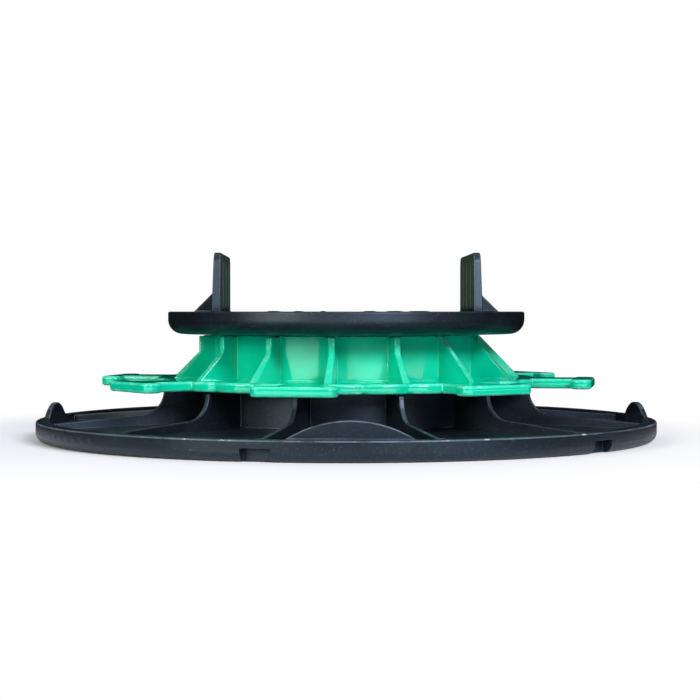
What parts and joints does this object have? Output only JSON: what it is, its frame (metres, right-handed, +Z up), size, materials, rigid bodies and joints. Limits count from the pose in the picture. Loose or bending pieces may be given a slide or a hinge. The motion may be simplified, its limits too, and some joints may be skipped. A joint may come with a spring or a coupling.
{
  "type": "decking pedestal",
  "caption": "Low round screw-jack pedestal: ribbed base plate, turning collar with hand tabs, and a head with two upright lugs that holds a deck joist at a set height.",
  "frame": {"origin": "on the ground under the collar's axis", "axes": "+Z up along the collar's axis, +Y along the joist, +X from one joist lug to the other; the pictured side faces -Y"},
  "size_m": [0.2, 0.2, 0.0594],
  "materials": {
    "black_plastic": "moulded polypropylene, fine satin texture",
    "green_plastic": "moulded polypropylene, semi-gloss"
  },
  "bodies": {
    "base": {"base_plate": "black_plastic"},
    "collar": {"adjusting_collar": "green_plastic"},
    "head": {"joist_head": "black_plastic"}
  },
  "joints": [
    {"name": "collar_turn", "type": "hinge", "parent": "base", "child": "collar", "pos_m": [0, 0, 0], "axis": [0, 0, -1], "range_deg": [0, 1440]},
    {"name": "head_lift", "type": "slide", "parent": "base", "child": "head", "axis": [0, 0, 1], "range_m": [0, 0.02]}
  ],
  "couplings": [
    {"joint": "head_lift", "follows": "collar_turn", "m_per_rad": 0.00079577}
  ]
}
